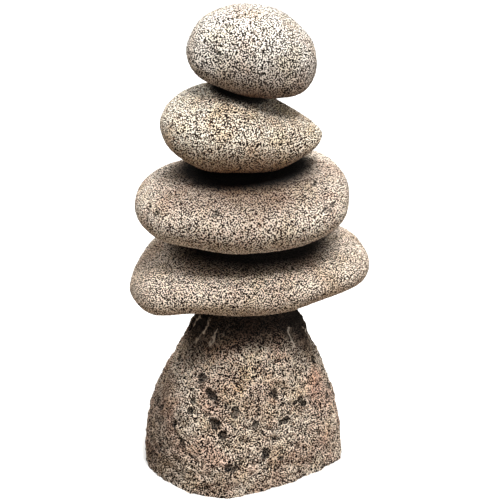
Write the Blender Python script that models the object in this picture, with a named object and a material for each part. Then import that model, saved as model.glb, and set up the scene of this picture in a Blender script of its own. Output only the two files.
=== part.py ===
"""Stone cairn: five natural stones balanced on one another.

The lowest is a pitted boulder, sawn flat underneath. On it lie a broad slab, an oval cobble, a cobble
that narrows to a point like an almond, and an egg-shaped cap stone. Sizes are in millimetres until
each stone is placed. The origin is on the sawn underside, +Z is up and the cairn's front faces -Y.
"""

import math
import random
from dataclasses import dataclass

import bmesh
import bpy
from mathutils import Euler, Vector, noise
from mathutils.bvhtree import BVHTree

MM = 0.001
CONTACT_GAP = 0.3
SEAT_WEAR = 1.4  # how much of a stone has worn away where its neighbour presses on it
SEAT_ROUNDING = 0.6
COBBLE_GRID = 11
BOULDER_GRID = 17
SHARP_ANGLE = math.radians(45)

BOULDER_COLOUR = (0.30, 0.25, 0.21)
COBBLE_COLOUR = (0.42, 0.37, 0.31)
STONE_ROUGHNESS = 0.9


# ---------------------------------------------------------------- shaping


def through(values, position):
    """Where the smooth curve through evenly spaced values is, at a position counted in steps."""
    step = min(int(position), len(values) - 4)
    t = position - step
    a, b, c, d = values[step : step + 4]
    return b + 0.5 * t * (c - a + t * (2 * a - 5 * b + 4 * c - d + t * (3 * (b - c) + d - a)))


def rounded_ends(values):
    """The values with one more past each end, so that a radius of 0 closes round like a dome."""
    return [-values[1], *values, -values[-2]]


def level_ends(values):
    """The values with one more past each end, so that their curve ends level."""
    return [values[1], *values, values[-2]]


def rounded(angle, fullness):
    """A point of a superellipse of radius 1. Fullness 2 is a circle, and more fills its corners."""
    c, s = math.cos(angle), math.sin(angle)
    power = 2.0 / fullness
    return math.copysign(abs(c) ** power, c), math.copysign(abs(s) ** power, s)


def ball(grid):
    """A cube with a grid of faces on each side, blown up into a ball of radius 1."""
    bm = bmesh.new()
    bmesh.ops.create_cube(bm, size=2.0)
    bmesh.ops.subdivide_edges(bm, edges=bm.edges[:], cuts=grid - 1, use_grid_fill=True)
    for vert in bm.verts:
        vert.co = Vector([math.tan(c * math.pi / 4) for c in vert.co]).normalized()
    return bm


def station(distance, steps):
    """How many steps along a ball a point is, from 0 at one pole to steps at the other."""
    return math.acos(max(-1.0, min(1.0, -distance))) / math.pi * steps


def swollen(point, outward, height, size, seed):
    """The point after a slow random swell or hollow of the skin, as every natural stone has."""
    return point + outward * height * noise.noise(point / size + Vector((seed, 2 * seed, -seed)))


def worn(point, normal, reach, crown, rounding):
    """The point after wear has flattened what stands past a plane, leaving a low crown there."""
    past = point.dot(normal) - reach
    if past <= -rounding:
        return point
    if past >= rounding:
        left = crown * past
    else:
        share = (past + rounding) / (2 * rounding)
        left = -rounding + 2 * rounding * share * (1 - (1 - crown) * share / 2)
    return point + normal * (left - past)


def seat_normal(slope):
    """The direction up from a seat that slopes up to the right by some degrees."""
    return Vector((-math.sin(math.radians(slope)), 0, math.cos(math.radians(slope))))


def wear_seat(bm, normal):
    """Wears the stone flat where it stands out furthest, as its neighbour's weight has done."""
    reach = max(vert.co.dot(normal) for vert in bm.verts) - SEAT_WEAR
    for vert in bm.verts:
        vert.co = worn(vert.co.copy(), normal, reach, 0.0, SEAT_ROUNDING)


def sink_pit(bm, near, width, depth):
    """Sinks a steep-walled pit into the middle of the face that is nearest to a point."""
    bm.faces.ensure_lookup_table()
    face = min(bm.faces, key=lambda f: (f.calc_center_median() - near).length_squared)
    margin = (math.sqrt(face.calc_area()) - width) / 2
    bmesh.ops.inset_individual(bm, faces=[face], thickness=max(margin, 0.3))
    bmesh.ops.inset_individual(bm, faces=[face], thickness=0.15 * width)
    inward = face.normal * -depth
    for vert in face.verts:
        vert.co += inward


def sink_hollow(bm, centre, radius, depth):
    """Presses a shallow round hollow into the skin."""
    for vert in bm.verts:
        away = (vert.co - centre).length / radius
        if away < 1:
            vert.co -= vert.normal * depth * (1 - away * away) ** 2


# ---------------------------------------------------------------- the cobbles


@dataclass
class Cobble:
    """A water-worn stone, given at stations an even angle apart from its left tip to its right."""

    name: str
    length: float
    depth: float
    thickness: float
    swell: tuple  # share of the thickness at the five stations between the tips
    spread: tuple  # share of the depth there
    lift: tuple  # how far the widest line stands above the centre at all seven stations
    place: tuple  # x and y of its centre
    turn: float  # degrees about the vertical, right end away from the front
    tilt: float  # degrees, right end up
    bed: float  # slope of the seat it lies on, in degrees, right side up
    seed: float
    crown: float = 0.5  # share of the thickness above the widest line
    fullness: float = 2.04
    flats: tuple = ()  # direction of each worn flat face, and its distance from the centre
    pits: tuple = ()  # places on the stone, from its centre

    def rotation(self):
        return Euler((0, math.radians(-self.tilt), math.radians(self.turn)), "XYZ").to_matrix()

    def body(self):
        """The stone about its own centre as the water left it, before its neighbours wore it."""
        half_length, half_depth, half_thickness = self.length / 2, self.depth / 2, self.thickness / 2
        steps = len(self.lift) - 1
        along = [-half_length * math.cos(math.pi * k / steps) for k in range(steps + 1)]
        along, lift = level_ends(along), level_ends(self.lift)
        height = rounded_ends([0, *(self.thickness * share for share in self.swell), 0])
        reach = rounded_ends([0, *(half_depth * share for share in self.spread), 0])
        bm = ball(COBBLE_GRID)
        for vert in bm.verts:
            unit = vert.co.copy()
            here = station(unit.x, steps)
            back, up = rounded(math.atan2(unit.z, unit.y), self.fullness)
            up *= self.crown if up > 0 else 1 - self.crown
            x, y = through(along, here), through(reach, here) * back
            point = Vector((x, y, through(lift, here) + through(height, here) * up))
            outward = Vector((unit.x / half_length, unit.y / half_depth, unit.z / half_thickness))
            outward.normalize()
            point = swollen(point, outward, 2.2, 42.0, self.seed)
            for normal, distance in self.flats:
                point = worn(point, Vector(normal).normalized(), distance, 0.3, 4.0)
            vert.co = swollen(point, outward, 0.8, 15.0, self.seed + 7)
        return bm

    def shape(self, top_bed):
        """The stone worn to the seat it lies on, and to the one on its top if it carries another."""
        bm = self.body()
        to_own = self.rotation().inverted()
        wear_seat(bm, -(to_own @ seat_normal(self.bed)))
        if top_bed is not None:
            wear_seat(bm, to_own @ seat_normal(top_bed))
        bm.normal_update()
        for pit in self.pits:
            sink_pit(bm, Vector(pit), width=3.0, depth=1.6)
        return bm


SLAB = Cobble(
    name="slab_stone",
    length=149.5,
    depth=103,
    thickness=41.5,
    swell=(0.72, 0.84, 1.0, 0.87, 0.62),
    spread=(0.76, 0.90, 1.0, 0.87, 0.60),
    lift=(-4, -0.5, 2, 0.5, 2.5, 2.5, 2),
    place=(3.3, 0),
    turn=9,
    tilt=1.5,
    bed=1.5,
    seed=1.3,
    flats=(((-0.78, 0.30, 0.55), 57),),
)
OVAL = Cobble(
    name="oval_stone",
    length=130.5,
    depth=107,
    thickness=47.5,
    swell=(0.58, 0.87, 1.0, 0.98, 0.66),
    spread=(0.56, 0.87, 1.0, 1.0, 0.72),
    lift=(0, 1, 2, 0, 1.5, 6, 8),
    place=(-1.5, -1),
    turn=12,
    tilt=0,
    bed=2,
    seed=2.1,
    pits=((-24, -40, 13), (39, -25, 21), (-58, -14, 9), (-54, -22, 7), (44, -43, 10)),
)
ALMOND = Cobble(
    name="almond_stone",
    length=98,
    depth=76,
    thickness=49.5,
    swell=(0.54, 0.93, 1.0, 0.72, 0.28),
    spread=(0.56, 0.90, 1.0, 0.76, 0.42),
    lift=(0, 0, 0, 0, -3.4, -2.6, -1),
    place=(-1.7, 0),
    turn=2,
    tilt=-4,
    bed=2,
    seed=3.7,
)
CAP = Cobble(
    name="cap_stone",
    length=78,
    depth=64,
    thickness=52.3,
    swell=(0.57, 0.89, 1.0, 0.86, 0.54),
    spread=(0.54, 0.88, 1.0, 0.87, 0.53),
    lift=(-2, -4, -4.5, -4.5, -5, -6, -6),
    place=(5.5, 4),
    turn=0,
    tilt=-10,
    bed=-12,
    seed=4.4,
    crown=0.62,
    fullness=2.15,
)


# ---------------------------------------------------------------- the boulder

# Height, middle across, half width and half depth, from under the saw cut to the crown
BOULDER_RINGS = (
    (-50, 0, 0, 0),
    (-25, 0, 60, 58),
    (12, 0, 66, 63),
    (34, 0, 60, 58),
    (56, 1, 51, 52),
    (75, 2, 42, 43),
    (92, 3, 34, 34),
    (103, 1, 25, 25),
    (107.4, 1, 0, 0),
)
# Direction of each broad flat face of the boulder, and its distance from the middle of the cut
BOULDER_FLATS = (
    ((-0.77, -0.64, 0.05), 63),
    ((0.575, -0.818, 0.10), 47.5),
    ((-1, 0, 0.05), 63),
    ((1, 0, 0.05), 61.5),
    ((0.75, 0.62, 0.15), 56),
    ((-0.55, 0.80, 0.15), 54),
)
# Across, height, radius and depth of the larger hollows on the front, then the same of its pits
FRONT_HOLLOWS = ((-20, 61, 10, 2.4), (-31, 54, 9, 1.6), (23, 60, 9, 1.6), (27, 40, 9, 1.8), (18, 21, 10, 1.6))
FRONT_PITS = (
    (-27, 70, 4, 2.6),
    (-20, 62, 4, 2.2),
    (-31, 53, 4, 2.2),
    (-6, 55, 3, 1.8),
    (-12, 40, 3, 2.0),
    (20, 61, 4, 2.2),
    (26, 41, 4, 2.4),
    (35, 50, 3, 1.8),
    (15, 24, 4, 2.0),
    (-6, 20, 3, 1.8),
    (-44, 40, 3, 1.8),
    (-18, 46, 3, 1.8),
)
OTHER_PITS = 22
PIT_SEED = 5


def boulder_skin(bm, azimuth, across, height):
    """The point of the boulder seen from an azimuth at a distance across and a height."""
    tree = BVHTree.FromBMesh(bm)
    away = Vector((math.sin(azimuth), -math.cos(azimuth), 0))
    side = Vector((math.cos(azimuth), math.sin(azimuth), 0))
    start = side * across + away * 200 + Vector((0, 0, height))
    return tree.ray_cast(start, -away)[0]


def pit_boulder(bm):
    """The hollows and pits of the front, and a scatter of like pits round the other sides."""
    bm.normal_update()
    for across, height, radius, depth in FRONT_HOLLOWS:
        sink_hollow(bm, boulder_skin(bm, 0, across, height), radius, depth)
    bm.normal_update()
    for across, height, width, depth in FRONT_PITS:
        sink_pit(bm, boulder_skin(bm, 0, across, height), width, depth)
    scatter = random.Random(PIT_SEED)
    for index in range(OTHER_PITS):
        azimuth = math.radians(65 + 230 * (index + scatter.random()) / OTHER_PITS)
        place = boulder_skin(bm, azimuth, scatter.uniform(-8, 8), scatter.uniform(8, 86))
        sink_pit(bm, place, scatter.uniform(2.8, 4.2), scatter.uniform(1.6, 2.6))


def boulder_shape(top_bed):
    """The boulder, sawn flat at height 0, pitted, and worn to the seat on its top."""
    columns = list(zip(*BOULDER_RINGS))
    heights, middles = level_ends(columns[0]), level_ends(columns[1])
    widths, depths = rounded_ends(columns[2]), rounded_ends(columns[3])
    bm = ball(BOULDER_GRID)
    for vert in bm.verts:
        unit = vert.co.copy()
        ring = station(unit.z, len(BOULDER_RINGS) - 1)
        right, back = rounded(math.atan2(unit.y, unit.x), 2.3)
        x = through(middles, ring) + through(widths, ring) * right
        point = Vector((x, through(depths, ring) * back, through(heights, ring)))
        point = swollen(point, unit, 3.0, 45.0, 5.0)
        point = swollen(point, unit, 1.2, 14.0, 6.0)
        for normal, distance in BOULDER_FLATS:
            point = worn(point, Vector(normal).normalized(), distance, 0.3, 5.0)
        vert.co = point
    wear_seat(bm, seat_normal(top_bed))
    pit_boulder(bm)
    everything = bm.verts[:] + bm.edges[:] + bm.faces[:]
    cut = bmesh.ops.bisect_plane(bm, geom=everything, plane_no=(0, 0, 1), clear_inner=True)
    rim = [item for item in cut["geom_cut"] if isinstance(item, bmesh.types.BMEdge)]
    bmesh.ops.contextual_create(bm, geom=rim)
    return bm


# ---------------------------------------------------------------- building


def stone_material(name, colour):
    material = bpy.data.materials.new(name)
    material.use_nodes = True
    material.diffuse_color = (*colour, 1.0)
    shader = material.node_tree.nodes["Principled BSDF"]
    shader.inputs["Base Color"].default_value = (*colour, 1.0)
    shader.inputs["Roughness"].default_value = STONE_ROUGHNESS
    shader.inputs["Metallic"].default_value = 0.0
    return material


def add_stone(name, bm, colour):
    bmesh.ops.scale(bm, verts=bm.verts, vec=(MM, MM, MM))
    bmesh.ops.recalc_face_normals(bm, faces=bm.faces[:])
    mesh = bpy.data.meshes.new(name)
    bm.to_mesh(mesh)
    bm.free()
    mesh.shade_smooth()
    mesh.set_sharp_from_angle(angle=SHARP_ANGLE)
    mesh.materials.append(stone_material(name, colour))
    obj = bpy.data.objects.new(name, mesh)
    bpy.context.scene.collection.objects.link(obj)
    return obj


def surface(obj):
    """The corners of a placed stone, and a tree that finds where a ray meets it."""
    bpy.context.view_layer.update()
    points = [obj.matrix_world @ vert.co for vert in obj.data.vertices]
    return points, BVHTree.FromPolygons(points, [tuple(face.vertices) for face in obj.data.polygons])


def lower_onto(upper, lower):
    """Lowers a stone straight down until only the contact gap is left above the one below."""
    upper_points, upper_tree = surface(upper)
    lower_points, lower_tree = surface(lower)
    down = Vector((0, 0, -1))
    gaps = [lower_tree.ray_cast(point, down)[3] for point in upper_points]
    gaps += [upper_tree.ray_cast(point, -down)[3] for point in lower_points]
    upper.location.z -= min(gap for gap in gaps if gap is not None) - CONTACT_GAP * MM


def main():
    for obj in list(bpy.data.objects):
        bpy.data.objects.remove(obj)
    cobbles = (SLAB, OVAL, ALMOND, CAP)
    top_beds = [cobble.bed for cobble in cobbles[1:]] + [None]
    lower = add_stone("base_stone", boulder_shape(SLAB.bed), BOULDER_COLOUR)
    for cobble, top_bed in zip(cobbles, top_beds):
        upper = add_stone(cobble.name, cobble.shape(top_bed), COBBLE_COLOUR)
        upper.rotation_euler = cobble.rotation().to_euler()
        upper.location = Vector((*cobble.place, 500)) * MM
        lower_onto(upper, lower)
        lower = upper


main()
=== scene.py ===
import math

import bpy
import numpy as np
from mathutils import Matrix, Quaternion, Vector, noise


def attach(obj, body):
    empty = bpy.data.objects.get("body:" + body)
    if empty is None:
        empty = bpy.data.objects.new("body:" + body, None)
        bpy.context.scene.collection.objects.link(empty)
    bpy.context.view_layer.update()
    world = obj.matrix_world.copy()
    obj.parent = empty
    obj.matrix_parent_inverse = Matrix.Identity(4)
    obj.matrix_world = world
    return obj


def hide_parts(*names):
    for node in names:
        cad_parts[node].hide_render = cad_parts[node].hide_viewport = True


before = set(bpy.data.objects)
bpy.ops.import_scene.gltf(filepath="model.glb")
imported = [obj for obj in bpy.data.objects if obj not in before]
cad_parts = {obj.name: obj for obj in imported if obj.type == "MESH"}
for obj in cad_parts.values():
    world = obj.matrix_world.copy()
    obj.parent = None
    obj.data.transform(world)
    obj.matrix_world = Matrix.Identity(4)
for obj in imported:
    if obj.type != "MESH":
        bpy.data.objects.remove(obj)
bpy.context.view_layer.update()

# ---------------------------------------------------------------------------
# Base stone: a rough block of grey-brown andesite with pits left by gas in the
# lava. It was broken out, its edges were tumbled round, and it was sawn flat
# underneath, so that the stack stands on the cut.
# ---------------------------------------------------------------------------
MM = 0.001
# Corners of a solid that are closer together than this are one corner
MERGE_DISTANCE = 0.01 * MM
# A face of the saw cut lies below this height and looks down at least this squarely
SAW_CUT_TOP, SAW_CUT_FACING = 0.05 * MM, -0.99
SAW_MARGIN = 6 * MM


def linear(code):
    """A hex colour, as a paint chart gives it, in the linear values that light uses."""
    channels = (int(code[i : i + 2], 16) / 255 for i in (1, 3, 5))
    return tuple(c / 12.92 if c <= 0.04045 else ((c + 0.055) / 1.055) ** 2.4 for c in channels) + (1.0,)


def add_node(tree, kind, links=None, **settings):
    """One node with its settings, and its inputs either linked to an output or set to a value."""
    node = tree.nodes.new(kind)
    for name, value in settings.items():
        setattr(node, name, value)
    for name, value in (links or {}).items():
        if isinstance(value, bpy.types.NodeSocket):
            tree.links.new(value, node.inputs[name])
        else:
            node.inputs[name].default_value = value
    return node


def pick(stone):
    """Makes the stone the one thing that operators act on."""
    bpy.ops.object.select_all(action="DESELECT")
    stone.select_set(True)
    bpy.context.view_layer.objects.active = stone


def finish_with(stone, kind, **settings):
    """Adds a modifier to the stone and applies it."""
    modifier = stone.modifiers.new(kind.title(), kind)
    for name, value in settings.items():
        setattr(modifier, name, value)
    pick(stone)
    bpy.ops.object.modifier_apply(modifier=modifier.name)


def rough_out(node_name, name, below=0.0):
    """The stone's main shape from its solid, with the solid's flats rounded off.

    A stone with a saw cut is first drawn down past it, so that rounding spares the cut's edge.
    """
    stone = bpy.data.objects.new(name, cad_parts[node_name].data.copy())
    bpy.context.scene.collection.objects.link(stone)
    stone.data.materials.clear()
    pick(stone)
    bpy.ops.object.mode_set(mode="EDIT")
    bpy.ops.mesh.select_all(action="SELECT")
    bpy.ops.mesh.remove_doubles(threshold=MERGE_DISTANCE)
    bpy.ops.mesh.tris_convert_to_quads()
    if below:
        bpy.ops.mesh.select_mode(type="FACE")
        bpy.ops.mesh.select_all(action="DESELECT")
        bpy.ops.object.mode_set(mode="OBJECT")
        for face in stone.data.polygons:
            face.select = face.center.z < SAW_CUT_TOP and face.normal.z < SAW_CUT_FACING
        bpy.ops.object.mode_set(mode="EDIT")
        bpy.ops.mesh.extrude_region_move(TRANSFORM_OT_translate={"value": (0, 0, -below)})
    bpy.ops.object.mode_set(mode="OBJECT")
    finish_with(stone, "SUBSURF", levels=2, render_levels=2)
    return stone


# The share of a pit's half width that its slope takes
PIT_SLOPE = 0.6
# How far a pit's rim wanders, as a share of its half width, and how many waves there are to a mm
BROAD_REACH, BROAD_PACE = 0.9, 0.45
FINE_REACH, FINE_PACE = 0.4, 1.1


def press_pits(stone, pits):
    """Presses pits into the stone, as a sculpting brush does, with ragged rims.

    Each pit is its place, width, height and depth in mm, and its slant in degrees.
    """
    verts = stone.data.vertices
    places = np.empty(len(verts) * 3)
    verts.foreach_get("co", places)
    places = places.reshape(-1, 3)
    moved = places.copy()
    for x, y, z, width, height, depth, slant in pits:
        _, centre, normal, _ = stone.closest_point_on_mesh(Vector((x, y, z)) * MM)
        across = normal.cross(Vector((0, 0, 1))).cross(normal).cross(normal).normalized()
        across = Quaternion(normal, math.radians(slant)) @ across
        up = normal.cross(across)
        gap = (places - np.array(centre)) / MM
        for index in np.flatnonzero((gap**2).sum(axis=1) < max(width, height) ** 2):
            away = Vector(gap[index])
            reach = math.hypot(away.dot(across) / width, away.dot(up) / height) * 2
            rim = BROAD_REACH * noise.noise(away * BROAD_PACE + Vector((x, y, z)))
            rim += FINE_REACH * noise.noise(away * FINE_PACE)
            reach += rim
            fall = min(max((1.0 - reach) / PIT_SLOPE, 0), 1)
            moved[index] -= np.array(normal) * depth * MM * fall * fall * (3 - 2 * fall)
    verts.foreach_set("co", moved.ravel())
    stone.data.update()


def bend(tree, place, wave_place, pace, reach):
    """The place, moved about by slow waves, so that what is drawn on it is ragged or uneven.

    pace is how many waves there are to a mm, and reach how far they go from end to end, in mm.
    """
    wave = add_node(
        tree, "ShaderNodeTexNoise", {"Vector": wave_place, "Scale": pace, "Detail": 3.0}
    ).outputs["Color"]
    drift = add_node(
        tree, "ShaderNodeVectorMath", {0: wave, 1: (0.5,) * 3}, operation="SUBTRACT"
    ).outputs[0]
    return add_node(
        tree, "ShaderNodeVectorMath", {0: drift, 1: (reach,) * 3, 2: place}, operation="MULTIPLY_ADD"
    ).outputs[0]


# Nearly all of a noise lies between these two values
NOISE_LOW, NOISE_HIGH = 0.3, 0.7
# The waves that bend grains and pores out of line, to a mm, and how far they go in mm
WEAR_PACE, WEAR_REACH = 0.4, 3.4
# How bluntly a grain is rounded, and how unevenly the grains have come away
GRAIN_BLUNTNESS, GRAIN_UNEVENNESS = 1.6, 0.6
# The half width of a pore or a crystal that luck has left out, as a share of the spacing
LEFT_OUT = 0.001


def wear_depth(tree, place, swell, crumb, grit, pores, flow):
    """How deep in mm the stone is worn: slow swells, crumbs, rounded grains and gas pores."""
    depth = 0.0
    for size, deep in (swell, crumb):
        bumps = add_node(
            tree, "ShaderNodeTexNoise", {"Vector": place, "Scale": 1 / size, "Detail": 3.0}
        ).outputs[0]
        part = add_node(
            tree,
            "ShaderNodeMapRange",
            {"Value": bumps, "From Min": NOISE_HIGH, "From Max": NOISE_LOW, "To Max": deep},
        ).outputs[0]
        depth = add_node(tree, "ShaderNodeMath", {0: depth, 1: part}, operation="ADD").outputs[0]

    loose = bend(tree, place, place, WEAR_PACE, WEAR_REACH)
    size, deep = grit
    grains = add_node(tree, "ShaderNodeTexVoronoi", {"Vector": loose, "Scale": 1 / size})
    round_off = add_node(
        tree, "ShaderNodeMath", {0: grains.outputs["Distance"], 1: GRAIN_BLUNTNESS}, operation="POWER"
    ).outputs[0]
    uneven = add_node(tree, "ShaderNodeSeparateXYZ", {0: grains.outputs["Color"]}).outputs[0]
    lift = add_node(
        tree, "ShaderNodeMath", {0: uneven, 1: GRAIN_UNEVENNESS, 2: round_off}, operation="MULTIPLY_ADD"
    ).outputs[0]
    depth = add_node(
        tree, "ShaderNodeMath", {0: lift, 1: deep, 2: depth}, operation="MULTIPLY_ADD"
    ).outputs[0]

    drawn = add_node(tree, "ShaderNodeVectorMath", {0: loose, 1: flow}, operation="DIVIDE").outputs[0]
    for spacing, widest, deep, share in pores:
        bubbles = add_node(tree, "ShaderNodeTexVoronoi", {"Vector": drawn, "Scale": 1 / spacing})
        luck = add_node(tree, "ShaderNodeSeparateXYZ", {0: bubbles.outputs["Color"]}).outputs[0]
        radius = add_node(
            tree,
            "ShaderNodeMapRange",
            {"Value": luck, "From Min": 1 - share, "To Min": LEFT_OUT, "To Max": widest / 2 / spacing},
        ).outputs[0]
        sunk = add_node(
            tree,
            "ShaderNodeMapRange",
            {"Value": bubbles.outputs["Distance"], "From Max": radius, "To Min": deep, "To Max": 0.0},
            interpolation_type="SMOOTHSTEP",
        ).outputs[0]
        depth = add_node(tree, "ShaderNodeMath", {0: depth, 1: sunk}, operation="ADD").outputs[0]
    return depth


def keep_length(tree, geometry, label, length):
    """Keeps a length with each point of the stone, in mm, for its material to read."""
    in_mm = add_node(tree, "ShaderNodeMath", {0: length, 1: 1 / MM}, operation="MULTIPLY").outputs[0]
    return add_node(
        tree,
        "GeometryNodeStoreNamedAttribute",
        {"Geometry": geometry, "Name": label, "Value": in_mm},
        data_type="FLOAT",
        domain="POINT",
    ).outputs[0]


# How far off the next stone is where this one still beds on it fully, and where it no longer does
BED_FULL, BED_END = 1.2 * MM, 5 * MM
# How far a bed stands out of the stone's solid, so that two beds meet
BED_GROWTH = 0.2 * MM
# Farther off than any stone of the stack, in metres
FAR_AWAY = 1.0
# Turns the wear's pattern, in radians, so that it doesn't line up with the axes
WEAR_TILT = (0.3, 0.65, 0.2)
# Smoothing passes that tell a grain-sized hollow and a pit from the skin around them
HOLLOWS = (("hollow_fine", 3), ("hollow_wide", 24))


def weathering(name, swell, crumb, grit, pores, flow, wander, own, below=None, above=None):
    """Nodes that work a stone's surface inwards, apart from the beds where stones meet.

    swell, crumb and grit are (size, depth) in mm; each of pores is (spacing, widest, depth, share),
    and flow is how much longer the pores are along each way of the old lava's run. wander, in mm,
    takes each stone to patterns of its own. Next to the stones below and above, the stone keeps to
    its own solid, so that they bed on each other. How far off the one above is, is kept too, for
    the material to paint shade into that joint.
    """
    tree = bpy.data.node_groups.new(name, "GeometryNodeTree")
    tree.interface.new_socket("Geometry", in_out="INPUT", socket_type="NodeSocketGeometry")
    tree.interface.new_socket("Geometry", in_out="OUTPUT", socket_type="NodeSocketGeometry")
    entry = tree.nodes.new("NodeGroupInput")
    leave = tree.nodes.new("NodeGroupOutput")
    position = add_node(tree, "GeometryNodeInputPosition").outputs[0]
    normal = add_node(tree, "GeometryNodeInputNormal").outputs[0]
    turned = add_node(
        tree,
        "ShaderNodeVectorRotate",
        {"Vector": position, "Rotation": WEAR_TILT},
        rotation_type="EULER_XYZ",
    ).outputs[0]
    place = add_node(
        tree, "ShaderNodeVectorMath", {0: turned, 1: (1 / MM,) * 3, 2: wander}, operation="MULTIPLY_ADD"
    ).outputs[0]
    depth = wear_depth(tree, place, swell, crumb, grit, pores, flow)

    near = {}
    for node_name in (own, below, above):
        if node_name:
            solid = add_node(tree, "GeometryNodeObjectInfo", {"Object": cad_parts[node_name]})
            near[node_name] = add_node(tree, "GeometryNodeProximity", {0: solid.outputs["Geometry"]})
    skin = near.pop(own).outputs["Position"]
    nearest = FAR_AWAY
    for proximity in near.values():
        nearest = add_node(
            tree, "ShaderNodeMath", {0: nearest, 1: proximity.outputs["Distance"]}, operation="MINIMUM"
        ).outputs[0]
    bedded = add_node(
        tree,
        "ShaderNodeMapRange",
        {"Value": nearest, "From Min": BED_FULL, "From Max": BED_END, "To Min": 1.0, "To Max": 0.0},
        interpolation_type="SMOOTHSTEP",
    ).outputs[0]
    proud = add_node(
        tree, "ShaderNodeVectorMath", {0: normal, 1: (BED_GROWTH,) * 3, 2: skin}, operation="MULTIPLY_ADD"
    ).outputs[0]
    to_bed = add_node(
        tree, "ShaderNodeVectorMath", {0: proud, 1: position}, operation="SUBTRACT"
    ).outputs[0]
    inward = add_node(tree, "ShaderNodeMath", {0: depth, 1: -MM}, operation="MULTIPLY").outputs[0]
    worn = add_node(
        tree, "ShaderNodeVectorMath", {0: normal, "Scale": inward}, operation="SCALE"
    ).outputs[0]
    offset = add_node(
        tree, "ShaderNodeMix", {0: bedded, 4: worn, 5: to_bed}, data_type="VECTOR"
    ).outputs[1]
    worked = add_node(
        tree, "GeometryNodeSetPosition", {"Geometry": entry.outputs[0], "Offset": offset}
    ).outputs[0]

    # How far each point lies below the skin around it, for the material to paint shade into the hollows and
    # pits
    for label, passes in HOLLOWS:
        smooth = add_node(
            tree,
            "GeometryNodeBlurAttribute",
            {"Value": position, "Iterations": passes},
            data_type="FLOAT_VECTOR",
        ).outputs[0]
        gap = add_node(
            tree, "ShaderNodeVectorMath", {0: smooth, 1: position}, operation="SUBTRACT"
        ).outputs[0]
        sunk = add_node(
            tree, "ShaderNodeVectorMath", {0: gap, 1: normal}, operation="DOT_PRODUCT"
        ).outputs["Value"]
        worked = keep_length(tree, worked, label, sunk)
    if above:
        worked = keep_length(tree, worked, "joint_gap", near[above].outputs["Distance"])
    tree.links.new(worked, leave.inputs[0])
    return tree


# Turns the grains' pattern, in radians, off the axes and off the wear's
GRAIN_TILT = (0.6, 0.9, 0.4)
# The steps between the two noises of a layer of grains, in grain widths
GRAIN_STEPS = ((0.62, 0, 0.56), (-0.62, 0, 0.56), (0, 0.88, 0.25))
# How far apart in mm the layers are taken from their pattern, so that they don't repeat each other
LAYERS_APART = 37
# Size in mm and strength of the slower changes in the mix of minerals
CLOUDS = ((2.9, 0.3), (8.0, 0.25))


def mosaic(tree, place, tilted, grain, contrast, flow):
    """The mix of minerals, from 0 where they are darkest to 1 where they are palest."""
    # Each noise less itself a step away: pale and dark grains lie side by side, without clumps, each grain
    # paler on one side and darker on the other as relief lit from one side is, so this is partly grain
    # colour and partly painted light and shade
    layers = []
    for index, step in enumerate(GRAIN_STEPS):
        for weight, shift in ((contrast, (0, 0, 0)), (-contrast, step)):
            spot = tuple(grain * part + LAYERS_APART * index for part in shift)
            moved = add_node(tree, "ShaderNodeMapping", {"Vector": place, "Location": spot}).outputs[0]
            moved = add_node(
                tree, "ShaderNodeMapping", {"Vector": moved, "Rotation": GRAIN_TILT}
            ).outputs[0]
            cloud = add_node(
                tree, "ShaderNodeTexNoise", {"Vector": moved, "Scale": 1 / grain, "Detail": 0.0}
            )
            layers.append((cloud.outputs[0], weight))
    for size, weight in CLOUDS:
        cloud = add_node(tree, "ShaderNodeTexNoise", {"Vector": tilted, "Scale": 1 / size, "Detail": 1.0})
        layers.append((cloud.outputs[0], weight))
    if flow:
        length, width, slant, weight = flow
        turn = (0, math.radians(slant), 0)
        shrink = (1 / length, 1 / length, 1 / width)
        run = add_node(tree, "ShaderNodeMapping", {"Vector": place, "Rotation": turn}).outputs[0]
        run = add_node(tree, "ShaderNodeMapping", {"Vector": run, "Scale": shrink}).outputs[0]
        cloud = add_node(tree, "ShaderNodeTexNoise", {"Vector": run, "Scale": 1.0, "Detail": 1.0})
        layers.append((cloud.outputs[0], weight))
    mix = 0.5
    for value, weight in layers:
        centred = add_node(tree, "ShaderNodeMath", {0: value, 1: 0.5}, operation="SUBTRACT").outputs[0]
        mix = add_node(
            tree, "ShaderNodeMath", {0: centred, 1: weight, 2: mix}, operation="MULTIPLY_ADD"
        ).outputs[0]
    return add_node(tree, "ShaderNodeClamp", {0: mix}).outputs[0]


# Where the second kind of crystal and of blush lie in their patterns, from the first kind, in mm
CRYSTALS_APART = (19, -7, 3)
BLUSH_APART = (31, 17, -23)
# More than full at a crystal's heart, so that only its rim fades into the ground
CRYSTAL_FILL = 1.6
# The values of its pattern between which a blush comes on
BLUSH_START, BLUSH_FULL = 0.48, 0.68


def with_crystals(tree, colour, tilted, crystals):
    """The colour with larger crystals strewn in it."""
    for index, (spacing, widest, share, code) in enumerate(crystals):
        spot = tuple(part * index for part in CRYSTALS_APART)
        moved = add_node(tree, "ShaderNodeMapping", {"Vector": tilted, "Location": spot}).outputs[0]
        cells = add_node(tree, "ShaderNodeTexVoronoi", {"Vector": moved, "Scale": 1 / spacing})
        luck = add_node(tree, "ShaderNodeSeparateColor", {0: cells.outputs["Color"]}).outputs[0]
        radius = add_node(
            tree,
            "ShaderNodeMapRange",
            {"Value": luck, "From Min": 1 - share, "To Min": LEFT_OUT, "To Max": 0.5 * widest / spacing},
        ).outputs[0]
        amount = add_node(
            tree,
            "ShaderNodeMapRange",
            {"Value": cells.outputs["Distance"], "From Max": radius, "To Min": CRYSTAL_FILL, "To Max": 0.0},
        ).outputs[0]
        colour = add_node(
            tree, "ShaderNodeMix", {0: amount, 6: colour, 7: linear(code)}, data_type="RGBA"
        ).outputs[2]
    return colour


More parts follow.
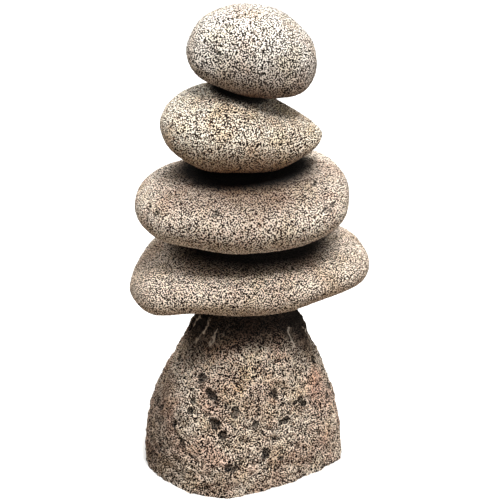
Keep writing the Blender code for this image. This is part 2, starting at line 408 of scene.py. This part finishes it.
def with_tints(tree, colour, tilted, ragged, blush, stains_and_painted_shade):
    """The colour with slow changes all over it, and with single ragged-edged patches, some of them stain
    colours and some painted shade.
    """
    tints = []
    for index, (size, code, strength) in enumerate(blush):
        spot = tuple(part * index for part in BLUSH_APART)
        moved = add_node(tree, "ShaderNodeMapping", {"Vector": tilted, "Location": spot}).outputs[0]
        patch = add_node(
            tree, "ShaderNodeTexNoise", {"Vector": moved, "Scale": 1 / size, "Detail": 3.0}
        ).outputs[0]
        amount = add_node(
            tree,
            "ShaderNodeMapRange",
            {"Value": patch, "From Min": BLUSH_START, "From Max": BLUSH_FULL, "To Max": strength},
        ).outputs[0]
        tints.append((amount, code))
    for centre, radii, edge, code, strength in stains_and_painted_shade:
        away = add_node(
            tree, "ShaderNodeVectorMath", {0: ragged, 1: centre}, operation="SUBTRACT"
        ).outputs[0]
        away = add_node(tree, "ShaderNodeVectorMath", {0: away, 1: radii}, operation="DIVIDE").outputs[0]
        away = add_node(tree, "ShaderNodeVectorMath", {0: away}, operation="LENGTH").outputs["Value"]
        amount = add_node(
            tree,
            "ShaderNodeMapRange",
            {"Value": away, "From Min": 1.0, "From Max": edge, "To Max": strength},
        ).outputs[0]
        tints.append((amount, code))
    for amount, code in tints:
        colour = add_node(
            tree,
            "ShaderNodeMix",
            {0: amount, 6: colour, 7: linear(code)},
            data_type="RGBA",
            blend_type="MULTIPLY",
        ).outputs[2]
    return colour


VEIN_COLOUR = "#e8dccd"
# How strongly a vein covers, and its faded rim and full heart as shares of its width
VEIN_COVER, VEIN_RIM, VEIN_HEART = 0.85, 0.55, 0.25
# A vein is a sheet that runs back through the stone, so distance along Y counts for this little
VEIN_DEPTH = 0.12


def with_veins(tree, colour, wavy, veins):
    """The colour with pale hairlines, which are the edges of thin veins."""
    flat = add_node(
        tree, "ShaderNodeVectorMath", {0: wavy, 1: (1, VEIN_DEPTH, 1)}, operation="MULTIPLY"
    ).outputs[0]
    for start, end, width in veins:
        start, end = (Vector((x, VEIN_DEPTH * y, z)) for x, y, z in (start, end))
        run = end - start
        off = add_node(
            tree, "ShaderNodeVectorMath", {0: flat, 1: tuple(start)}, operation="SUBTRACT"
        ).outputs[0]
        along = add_node(
            tree,
            "ShaderNodeVectorMath",
            {0: off, 1: tuple(run / run.length_squared)},
            operation="DOT_PRODUCT",
        ).outputs["Value"]
        along = add_node(tree, "ShaderNodeClamp", {0: along}).outputs[0]
        foot = add_node(
            tree, "ShaderNodeVectorMath", {0: tuple(run), "Scale": along}, operation="SCALE"
        ).outputs[0]
        away = add_node(
            tree, "ShaderNodeVectorMath", {0: off, 1: foot}, operation="DISTANCE"
        ).outputs["Value"]
        edge = {"From Min": VEIN_RIM * width, "From Max": VEIN_HEART * width, "To Max": VEIN_COVER}
        amount = add_node(tree, "ShaderNodeMapRange", {"Value": away, **edge}).outputs[0]
        colour = add_node(
            tree, "ShaderNodeMix", {0: amount, 6: colour, 7: linear(VEIN_COLOUR)}, data_type="RGBA"
        ).outputs[2]
    return colour


# The depths in mm at which the painted shade in fine hollows and in pits begins, and is full
FINE_SHADE, WIDE_SHADE = (0.0, 0.2), (0.15, 0.9)


def with_shade(tree, colour, hollow, painted_joint_shade):
    """The colour with painted shade: darker in grain-sized hollows, in pits and in the joint above."""
    fine, wide = hollow
    shades = [("hollow_fine", *FINE_SHADE, 1.0, fine), ("hollow_wide", *WIDE_SHADE, 1.0, wide)]
    if painted_joint_shade:
        full, end, darkness = painted_joint_shade
        shades.append(("joint_gap", full, end, darkness, 1.0))
    for label, low, high, at_low, at_high in shades:
        value = add_node(tree, "ShaderNodeAttribute", attribute_name=label).outputs["Fac"]
        shade = add_node(
            tree,
            "ShaderNodeMapRange",
            {"Value": value, "From Min": low, "From Max": high, "To Min": at_low, "To Max": at_high},
            interpolation_type="SMOOTHSTEP",
        ).outputs[0]
        colour = add_node(
            tree, "ShaderNodeVectorMath", {0: colour, "Scale": shade}, operation="SCALE"
        ).outputs[0]
    return colour


# The waves in the edges of stains and in veins, to a mm, and how far they go in mm
TINT_PACE, STAIN_REACH, VEIN_REACH = 0.3, 12, 5
# How far the palest grains stand out from the darkest, and how strongly that shows
GRAIN_RELIEF, RELIEF_STRENGTH = 0.6 * MM, 0.9


def andesite(
    name,
    grain,
    contrast,
    shades,
    crystals,
    blush,
    stains_and_painted_shade=(),
    veins=(),
    hollow=(0.6, 0.35),
    painted_joint_shade=None,
    flow=None,
):
    """Natural andesite: a close mosaic of pale feldspar, tan ground and dark pyroxene, dull all over.

    Its surface is as it was found, neither cut nor polished. The grains are about a millimetre
    wide, as they are in the coarser kinds of this rock.

    grain is the usual grain width in mm and contrast how hard the minerals part; shades are the
    (place, colour) of the minerals from dark to pale; crystals the (spacing mm, widest mm, share,
    colour) of the larger ones; blush the (patch size mm, colour, strength) of slow changes; stains
    the (place mm, radii mm, full share, colour, strength) of single patches of stain colour or of
    painted shade; veins the (start mm, end mm, width mm) of pale hairlines; hollow how dark the
    shade painted into the fine hollows and the pits is; grime the (gap mm where it is full, gap mm
    where it ends, darkness) of the shade painted into the joint above; flow the (length mm, width
    mm, slant degrees, strength) of the streaks of the old lava's run.
    """
    material = bpy.data.materials.new(name)
    material.use_nodes = True
    tree = material.node_tree
    tree.nodes.clear()
    coords = add_node(tree, "ShaderNodeTexCoord").outputs["Object"]
    place = add_node(tree, "ShaderNodeMapping", {"Vector": coords, "Scale": (1 / MM,) * 3}).outputs[0]
    tilted = add_node(tree, "ShaderNodeMapping", {"Vector": place, "Rotation": GRAIN_TILT}).outputs[0]

    mix = mosaic(tree, place, tilted, grain, contrast, flow)
    mineral = add_node(tree, "ShaderNodeValToRGB", {0: mix})
    ramp = mineral.color_ramp
    for index, (share, code) in enumerate(shades):
        stop = ramp.elements[0] if index == 0 else ramp.elements.new(share)
        stop.position = share
        stop.color = linear(code)
    ramp.elements.remove(ramp.elements[-1])
    colour = with_crystals(tree, mineral.outputs[0], tilted, crystals)

    ragged = bend(tree, place, tilted, TINT_PACE, STAIN_REACH)
    colour = with_tints(tree, colour, tilted, ragged, blush, stains_and_painted_shade)
    wavy = bend(tree, place, tilted, TINT_PACE, VEIN_REACH)
    colour = with_veins(tree, colour, wavy, veins)
    colour = with_shade(tree, colour, hollow, painted_joint_shade)

    grainy = add_node(
        tree, "ShaderNodeBump", {"Strength": RELIEF_STRENGTH, "Distance": GRAIN_RELIEF, "Height": mix}
    ).outputs[0]
    skin = add_node(
        tree,
        "ShaderNodeBsdfPrincipled",
        {"Base Color": colour, "Roughness": 0.92, "Specular IOR Level": 0.3, "Normal": grainy},
    )
    add_node(tree, "ShaderNodeOutputMaterial", {"Surface": skin.outputs[0]})
    return material


def set_in_place(stone, node_name, material):
    """Gives the stone its material and lets it stand for its solid in the stack."""
    stone.data.materials.append(material)
    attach(stone, "root")
    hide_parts(node_name)


BOULDER_CELL = 0.78 * MM
# Below this angle in degrees two faces are smoothed into one; the saw cut's edge stays sharp
BOULDER_EDGE = 60
# Place, width, height and depth in mm of the larger pits, and their slant in degrees
BOULDER_PITS = (
    (-27, -37, 70, 4.0, 2.5, 1.8, -20),
    (-20, -46, 62, 9.0, 3.0, 1.5, -35),
    (-33, -42, 57, 3.0, 2.0, 1.4, 10),
    (-31, -46, 52, 3.5, 2.5, 1.2, 40),
    (-6, -52, 55, 4.0, 2.5, 1.2, -30),
    (-12, -56, 40, 3.5, 2.5, 1.6, 20),
    (20, -41, 61, 6.0, 2.5, 1.5, 30),
    (26, -41, 41, 5.0, 3.0, 1.8, -10),
    (33, -34, 51, 3.0, 2.5, 1.4, 0),
    (38, -31, 49, 5.0, 2.5, 1.5, -30),
    (15, -51, 24, 5.0, 3.0, 1.5, 15),
    (24, -47, 19, 4.0, 2.5, 1.4, 0),
    (-6, -61, 20, 4.0, 2.5, 1.2, -20),
    (-44, -40, 40, 5.0, 2.5, 1.2, -40),
    (-18, -53, 47, 7.0, 3.0, 1.5, -30),
    (7, -50, 45, 4.0, 2.5, 0.9, 10),
    (-36, -46, 30, 8.0, 3.0, 1.1, -40),
    (34, 33, 60, 5.5, 3.5, 1.8, 20),
    (10, 48, 44, 7.0, 3.5, 1.7, -30),
    (-22, 44, 66, 5.0, 3.5, 1.7, 0),
    (-38, 40, 30, 6.0, 3.5, 1.8, 40),
    (56, 6, 34, 5.0, 3.0, 1.6, 10),
    (46, 10, 70, 6.0, 3.0, 1.6, -25),
    (-55, 8, 52, 6.0, 3.0, 1.7, 20),
    (-50, -8, 74, 4.0, 3.0, 1.5, 0),
    (8, 58, 20, 5.0, 3.0, 1.5, 0),
)
PINK, YELLOW, RUST, PAINTED_SIDE_SHADE, PAINTED_NECK_SHADOW = "#e0a492", "#ecd08e", "#c09a84", "#6a564a", "#2a201a"

boulder = rough_out("base_stone", "rough_boulder", below=SAW_MARGIN)
finish_with(boulder, "REMESH", mode="VOXEL", voxel_size=BOULDER_CELL)
press_pits(boulder, BOULDER_PITS)
boulder_wear = weathering(
    "boulder_weathering",
    swell=(14, 1.2),
    crumb=(5.0, 1.7),
    grit=(1.7, 0.22),
    pores=((7.5, 4.6, 1.2, 0.3), (4.2, 2.8, 0.9, 0.4), (2.6, 1.8, 0.5, 0.5)),
    flow=(1.9, 1.0, 0.8),
    wander=(0, 0, 0),
    own="base_stone",
    above="slab_stone",
)
finish_with(boulder, "NODES", node_group=boulder_wear)
pick(boulder)
bpy.ops.object.mode_set(mode="EDIT")
bpy.ops.mesh.select_all(action="SELECT")
bpy.ops.mesh.bisect(
    plane_co=(0, 0, 0), plane_no=(0, 0, 1), use_fill=True, clear_inner=True, threshold=1e-6
)
bpy.ops.object.mode_set(mode="OBJECT")
bpy.ops.object.shade_smooth_by_angle(angle=math.radians(BOULDER_EDGE))

# Grey-brown andesite, broken out and left rough, tinged by a little iron, with the slab's shadow painted on
# its neck and painted shade on its lower left side
boulder_andesite = andesite(
    "broken_andesite",
    grain=0.85,
    contrast=3.8,
    shades=((0.0, "#0d0603"), (0.25, "#2a1911"), (0.5, "#ae856d"), (0.73, "#fcd9be"), (0.95, "#fff0dc")),
    crystals=((2.4, 3.0, 0.7, "#1c110b"), (2.9, 2.8, 0.5, "#fff0da")),
    blush=((17, PINK, 0.35), (13, YELLOW, 0.25), (24, RUST, 0.4)),
    stains_and_painted_shade=(
        ((50, -17, 50), (18, 18, 22), 0.4, PINK, 0.35),
        ((2, -43, 75), (7, 9, 7), 0.4, YELLOW, 0.4),
        ((-2, -47, 68), (5, 7, 5), 0.4, YELLOW, 0.5),
        # Painted shade: the lower left side darker, away from the light
        ((-64, -30, 30), (36, 44, 64), 0.3, PAINTED_SIDE_SHADE, 0.7),
        # Painted shadow of the slab, darkening the boulder's neck and the top under it
        ((-37, -12, 98), (28, 40, 32), 0.35, PAINTED_NECK_SHADOW, 0.92),
        ((41, -8, 97), (24, 38, 36), 0.35, PAINTED_NECK_SHADOW, 0.88),
        ((0, 20, 122), (90, 100, 45), 0.74, PAINTED_NECK_SHADOW, 0.93),
    ),
    veins=(
        ((-20, -20, 103), (-23, -24, 95), 1.4),
        ((-23, -24, 95), (-29, -23, 87), 1.4),
        ((-29, -23, 87), (-34, -19, 80), 1.3),
        ((-26, -15, 101), (-32, -9, 90), 1.4),
        ((-32, -9, 90), (-38, -3, 79), 1.3),
        ((-29, -4, 102), (-39, 2, 86), 1.2),
        ((-16, -27, 98), (-21, -31, 88), 1.2),
        ((-47, -17, 56), (-52, -13, 49), 1.2),
        ((32, -9, 100), (37, -12, 91), 1.3),
        ((37, -12, 91), (43, 2, 76), 1.2),
        ((27, -20, 96), (31, -24, 84), 1.2),
    ),
    # Painted shade in the hollows, the pits and the joint under the slab
    hollow=(0.55, 0.32),
    painted_joint_shade=(1, 7, 0.3),
    flow=(9, 1.8, -38, 2.0),
)
set_in_place(boulder, "base_stone", boulder_andesite)

# ---------------------------------------------------------------------------
# Slab stone: a flat, rounded cobble of the same andesite, the widest of the
# stack, worn smooth by water, and the finest and most even in grain.
# ---------------------------------------------------------------------------


def worn_cobble(node_name, name, cell, pits, wander, below, above=None):
    """A stone that water has worn: its solid, finely pitted and grained, with a few nicks."""
    cobble = rough_out(node_name, name)
    finish_with(cobble, "REMESH", mode="VOXEL", voxel_size=cell)
    press_pits(cobble, pits)
    wear = weathering(
        name + "_weathering",
        swell=(14, 0.35),
        crumb=(3.2, 0.25),
        grit=(1.4, 0.15),
        pores=((9.0, 2.6, 0.8, 0.25),),
        flow=(1.2, 1, 1),
        wander=wander,
        own=node_name,
        below=below,
        above=above,
    )
    finish_with(cobble, "NODES", node_group=wear)
    bpy.ops.object.shade_smooth()
    return cobble


slab = worn_cobble(
    "slab_stone",
    "slab_cobble",
    cell=0.7 * MM,
    pits=(
        (-59, -33, 135, 3.0, 2.0, 0.8, 20),
        (-48, -37, 139, 2.5, 2.0, 0.7, 0),
        (-42, -39, 138, 2.5, 2.0, 0.7, 40),
        (-1, -35, 143, 3.0, 2.0, 0.7, 0),
        (30, 40, 130, 4.0, 2.5, 1.0, 20),
    ),
    wander=(40, 0, 0),
    below="base_stone",
    above="oval_stone",
)
# Tan andesite, fine in grain, tumbled smooth by water
slab_andesite = andesite(
    "worn_andesite_slab",
    grain=0.78,
    contrast=3.4,
    shades=((0.0, "#180d07"), (0.25, "#38261b"), (0.5, "#aa8f7a"), (0.75, "#ecd2ba"), (0.97, "#ffeedb")),
    crystals=((2.6, 2.2, 0.6, "#1e130c"), (3.1, 2.0, 0.4, "#fff0dc")),
    blush=((20, "#d4b8a2", 0.4), (15, "#dccfa8", 0.3)),
    # Painted shade in the joint under the oval stone
    painted_joint_shade=(6, 15, 0.03),
)
set_in_place(slab, "slab_stone", slab_andesite)

# ---------------------------------------------------------------------------
# Oval stone: a thick, egg-shaped cobble of a redder and darker andesite, with
# small gas pits that show where its skin has worn through.
# ---------------------------------------------------------------------------
oval = worn_cobble(
    "oval_stone",
    "oval_cobble",
    cell=0.7 * MM,
    pits=(
        (-16, -45, 186, 3.2, 2.4, 1.6, 0),
        (43, -18, 194, 2.8, 2.2, 1.4, 20),
        (-56, -28, 182, 4.5, 2.2, 1.2, -30),
        (-51, -36, 180, 5.0, 2.2, 1.2, -30),
        (-57, -31, 174, 4.0, 2.0, 1.0, -20),
        (51, -37, 183, 3.0, 2.4, 1.2, 0),
        (48, -37, 184, 2.6, 2.0, 1.0, 30),
        (-30, 44, 175, 4.0, 2.6, 1.4, 20),
        (22, 52, 168, 3.4, 2.6, 1.2, -30),
    ),
    wander=(80, 10, 0),
    below="slab_stone",
    above="almond_stone",
)
# Reddish andesite, tumbled smooth by water, with painted shade darkening its crown under the almond stone
oval_andesite = andesite(
    "worn_andesite_oval",
    grain=0.8,
    contrast=3.6,
    shades=((0.0, "#120805"), (0.25, "#2e1c14"), (0.5, "#b48d76"), (0.72, "#ffdfc5"), (0.94, "#fff3e2")),
    crystals=((2.3, 2.2, 0.6, "#140c08"), (2.8, 2.4, 0.5, "#ffeeda")),
    blush=((20, "#d2b09c", 0.4), (15, "#dccfa8", 0.3)),
    # Painted shade, darker and browner on the crown
    stains_and_painted_shade=(((0, -18, 208), (72, 72, 56), 0.25, "#8a705a", 0.95),),
    # Painted shade in the joint under the almond stone
    painted_joint_shade=(6, 15, 0.03),
)
set_in_place(oval, "oval_stone", oval_andesite)

# ---------------------------------------------------------------------------
# Almond stone: a cobble that narrows to one side, of a paler andesite that
# iron has tinged yellow.
# ---------------------------------------------------------------------------
almond = worn_cobble(
    "almond_stone",
    "almond_cobble",
    cell=0.56 * MM,
    pits=((24, -30, 222, 3.0, 2.2, 1.0, 0), (-20, 26, 224, 3.5, 2.5, 1.2, 30)),
    wander=(120, 30, 0),
    below="oval_stone",
    above="cap_stone",
)
# Yellowish andesite, tumbled smooth by water, with painted shade darkening its lower half
almond_andesite = andesite(
    "worn_andesite_almond",
    grain=0.8,
    contrast=3.6,
    shades=((0.0, "#120804"), (0.25, "#341e12"), (0.48, "#c09678"), (0.7, "#ffe4c6"), (0.92, "#fff6e4")),
    crystals=((2.3, 2.2, 0.6, "#1c1008"), (2.8, 2.4, 0.5, "#fff4dc")),
    blush=((20, "#dcb894", 0.4), (15, "#e4d2a0", 0.4)),
    # Painted shade, darker and browner on the lower half
    stains_and_painted_shade=(((-4, -8, 192), (80, 70, 36), 0.4, "#b2957f", 1.0),),
    # Painted shade in the joint under the cap stone
    painted_joint_shade=(2.5, 6.5, 0.02),
)
set_in_place(almond, "almond_stone", almond_andesite)

# ---------------------------------------------------------------------------
# Cap stone: the smallest and roundest cobble, of the greyest and palest
# andesite, with a nick in its front.
# ---------------------------------------------------------------------------
cap = worn_cobble(
    "cap_stone",
    "cap_cobble",
    cell=0.52 * MM,
    pits=(
        (-15, -23, 275, 4.5, 2.5, 1.6, 10),
        (11, -28, 264, 2.5, 2.0, 1.0, 0),
        (-9, -13, 289, 3.0, 2.0, 0.8, 0),
        (13, -17, 288, 3.0, 2.2, 0.9, 20),
        (14, 30, 268, 3.5, 2.5, 1.2, 0),
    ),
    wander=(160, 60, 0),
    below="almond_stone",
)
# Pale grey andesite, tumbled smooth by water, with painted shade darkening it underneath
cap_andesite = andesite(
    "worn_andesite_cap",
    grain=0.8,
    contrast=3.6,
    shades=((0.0, "#100a07"), (0.25, "#281e18"), (0.5, "#988778"), (0.75, "#e4d6c8"), (0.97, "#fff6ea")),
    crystals=((2.3, 2.1, 0.6, "#1a110c"), (2.8, 2.2, 0.4, "#fff6e8")),
    blush=((20, "#d8bca4", 0.4), (15, "#e0d4ac", 0.3)),
    # Painted shade, darker and browner on the lower part
    stains_and_painted_shade=(((5, -6, 236), (72, 72, 38), 0.3, "#8a7264", 1.0),),
)
set_in_place(cap, "cap_stone", cap_andesite)

# ---------------------------------------------------------------------------
# Studio floor: one wide sheet of matt white background paper. It isn't part of
# the stack. What it throws back up is kept weak, as if the paper ended close by.
# ---------------------------------------------------------------------------
FLOOR_RADIUS = 6.0
PAPER_SEEN, PAPER_GIVES_BACK = "#f6f5f3", "#827568"

bpy.ops.object.select_all(action="DESELECT")
bpy.ops.mesh.primitive_circle_add(vertices=96, radius=FLOOR_RADIUS, fill_type="NGON")
floor = bpy.context.active_object
floor.name = "studio_floor"

# Matt background paper, white as the camera sees it and a dim buff in the light that it gives back
paper = bpy.data.materials.new("white_paper")
paper.use_nodes = True
tree = paper.node_tree
tree.nodes.clear()
seen = add_node(tree, "ShaderNodeBsdfDiffuse", {"Color": linear(PAPER_SEEN)}).outputs[0]
bounced = add_node(tree, "ShaderNodeBsdfDiffuse", {"Color": linear(PAPER_GIVES_BACK)}).outputs[0]
camera_ray = add_node(tree, "ShaderNodeLightPath").outputs["Is Camera Ray"]
sheet = add_node(tree, "ShaderNodeMixShader", {0: camera_ray, 1: bounced, 2: seen}).outputs[0]
add_node(tree, "ShaderNodeOutputMaterial", {"Surface": sheet})
floor.data.materials.append(paper)

# ---------------------------------------------------------------------------
# Lights and camera: a studio with one main softbox above, in front and a little
# to the right, wide softboxes behind and at both sides, and two weak panels near
# the floor. The camera looks down on the stack from the front, as a buyer would.
# ---------------------------------------------------------------------------
AIR_GLOW = 0.03
# Places and distances are in metres
STACK_MIDDLE = Vector((0, 0, 0.15))
LIGHT_DISTANCE = 1.8
# Name, azimuth and elevation in degrees, width in metres and power in watts
SOFTBOXES = (
    ("key_softbox", 20, 64, 0.4, 29),
    ("back_softbox", 180, 72, 0.9, 30),
    ("left_softbox", -90, 50, 0.9, 18),
    ("right_softbox", 90, 58, 0.9, 16),
    ("right_panel", 80, 5, 0.9, 7),
    ("front_panel", 0, 5, 0.9, 5),
)
CAMERA_AIM = Vector((0.004, 0, 0.139))
CAMERA_ELEVATION = 25.5
CAMERA_DISTANCE = 1.3556
# The focal length and the width of the picture behind it, in mm
LENS, SENSOR_WIDTH = 160, 36


def around(azimuth, elevation, distance):
    """A step away from the stack: azimuth 0 is its front, and elevation is above level."""
    a, e = math.radians(azimuth), math.radians(elevation)
    return Vector((math.sin(a) * math.cos(e), -math.cos(a) * math.cos(e), math.sin(e))) * distance


def place_facing(thing, place, target):
    """Puts a lamp or the camera in its place, turned to its target."""
    bpy.context.scene.collection.objects.link(thing)
    thing.location = place
    thing.rotation_euler = (target - place).to_track_quat("-Z", "Y").to_euler()


world = bpy.data.worlds.new("studio_air")
world.use_nodes = True
world.node_tree.nodes["Background"].inputs["Color"].default_value = (1, 1, 1, 1)
world.node_tree.nodes["Background"].inputs["Strength"].default_value = AIR_GLOW
bpy.context.scene.world = world

for name, azimuth, elevation, width, power in SOFTBOXES:
    light = bpy.data.lights.new(name, "AREA")
    light.shape = "DISK"
    light.size = width
    light.energy = power
    lamp = bpy.data.objects.new(name, light)
    place_facing(lamp, STACK_MIDDLE + around(azimuth, elevation, LIGHT_DISTANCE), STACK_MIDDLE)

camera = bpy.data.objects.new("camera", bpy.data.cameras.new("camera"))
camera.data.lens = LENS
camera.data.sensor_width = SENSOR_WIDTH
place_facing(camera, CAMERA_AIM + around(0, CAMERA_ELEVATION, CAMERA_DISTANCE), CAMERA_AIM)
bpy.context.scene.camera = camera
bpy.context.scene.view_settings.view_transform = "Standard"
